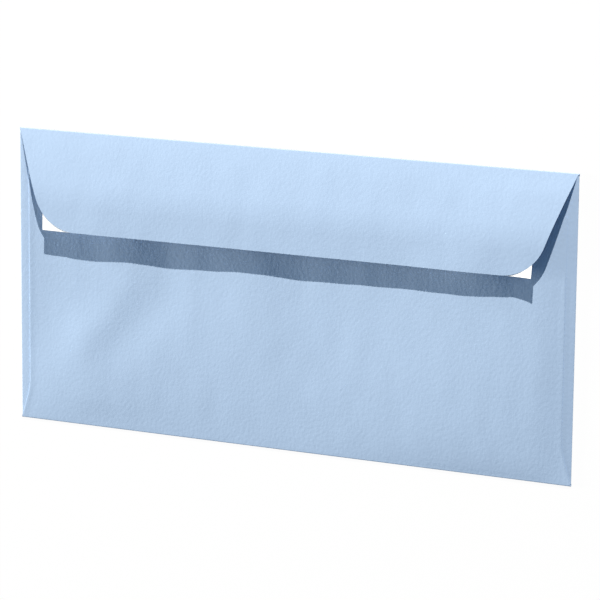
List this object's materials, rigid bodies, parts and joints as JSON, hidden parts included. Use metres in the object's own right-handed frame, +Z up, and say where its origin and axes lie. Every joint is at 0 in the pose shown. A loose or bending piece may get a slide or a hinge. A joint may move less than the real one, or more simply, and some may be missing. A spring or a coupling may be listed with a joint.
{
  "type": "envelope",
  "caption": "Long wallet-style paper envelope lying on its front, folded from one sheet, its deep seal flap ajar with a peel-off release liner along the lower edge.",
  "frame": {"origin": "on the surface that the envelope lies on, below the middle of its outline", "axes": "+X along the top fold, +Y from the bottom fold towards the top fold, +Z up out of the back panel, towards the flap"},
  "size_m": [0.22, 0.11, 0.0072],
  "materials": {
    "blue_paper": "pale blue uncoated laid paper, fine felt grain",
    "adhesive": "pale translucent pressure-sensitive adhesive",
    "liner_paper": "white siliconised release paper, faint satin"
  },
  "bodies": {
    "root": {"envelope": "blue_paper", "seal_adhesive": "adhesive", "release_liner": "liner_paper"}
  },
  "joints": []
}
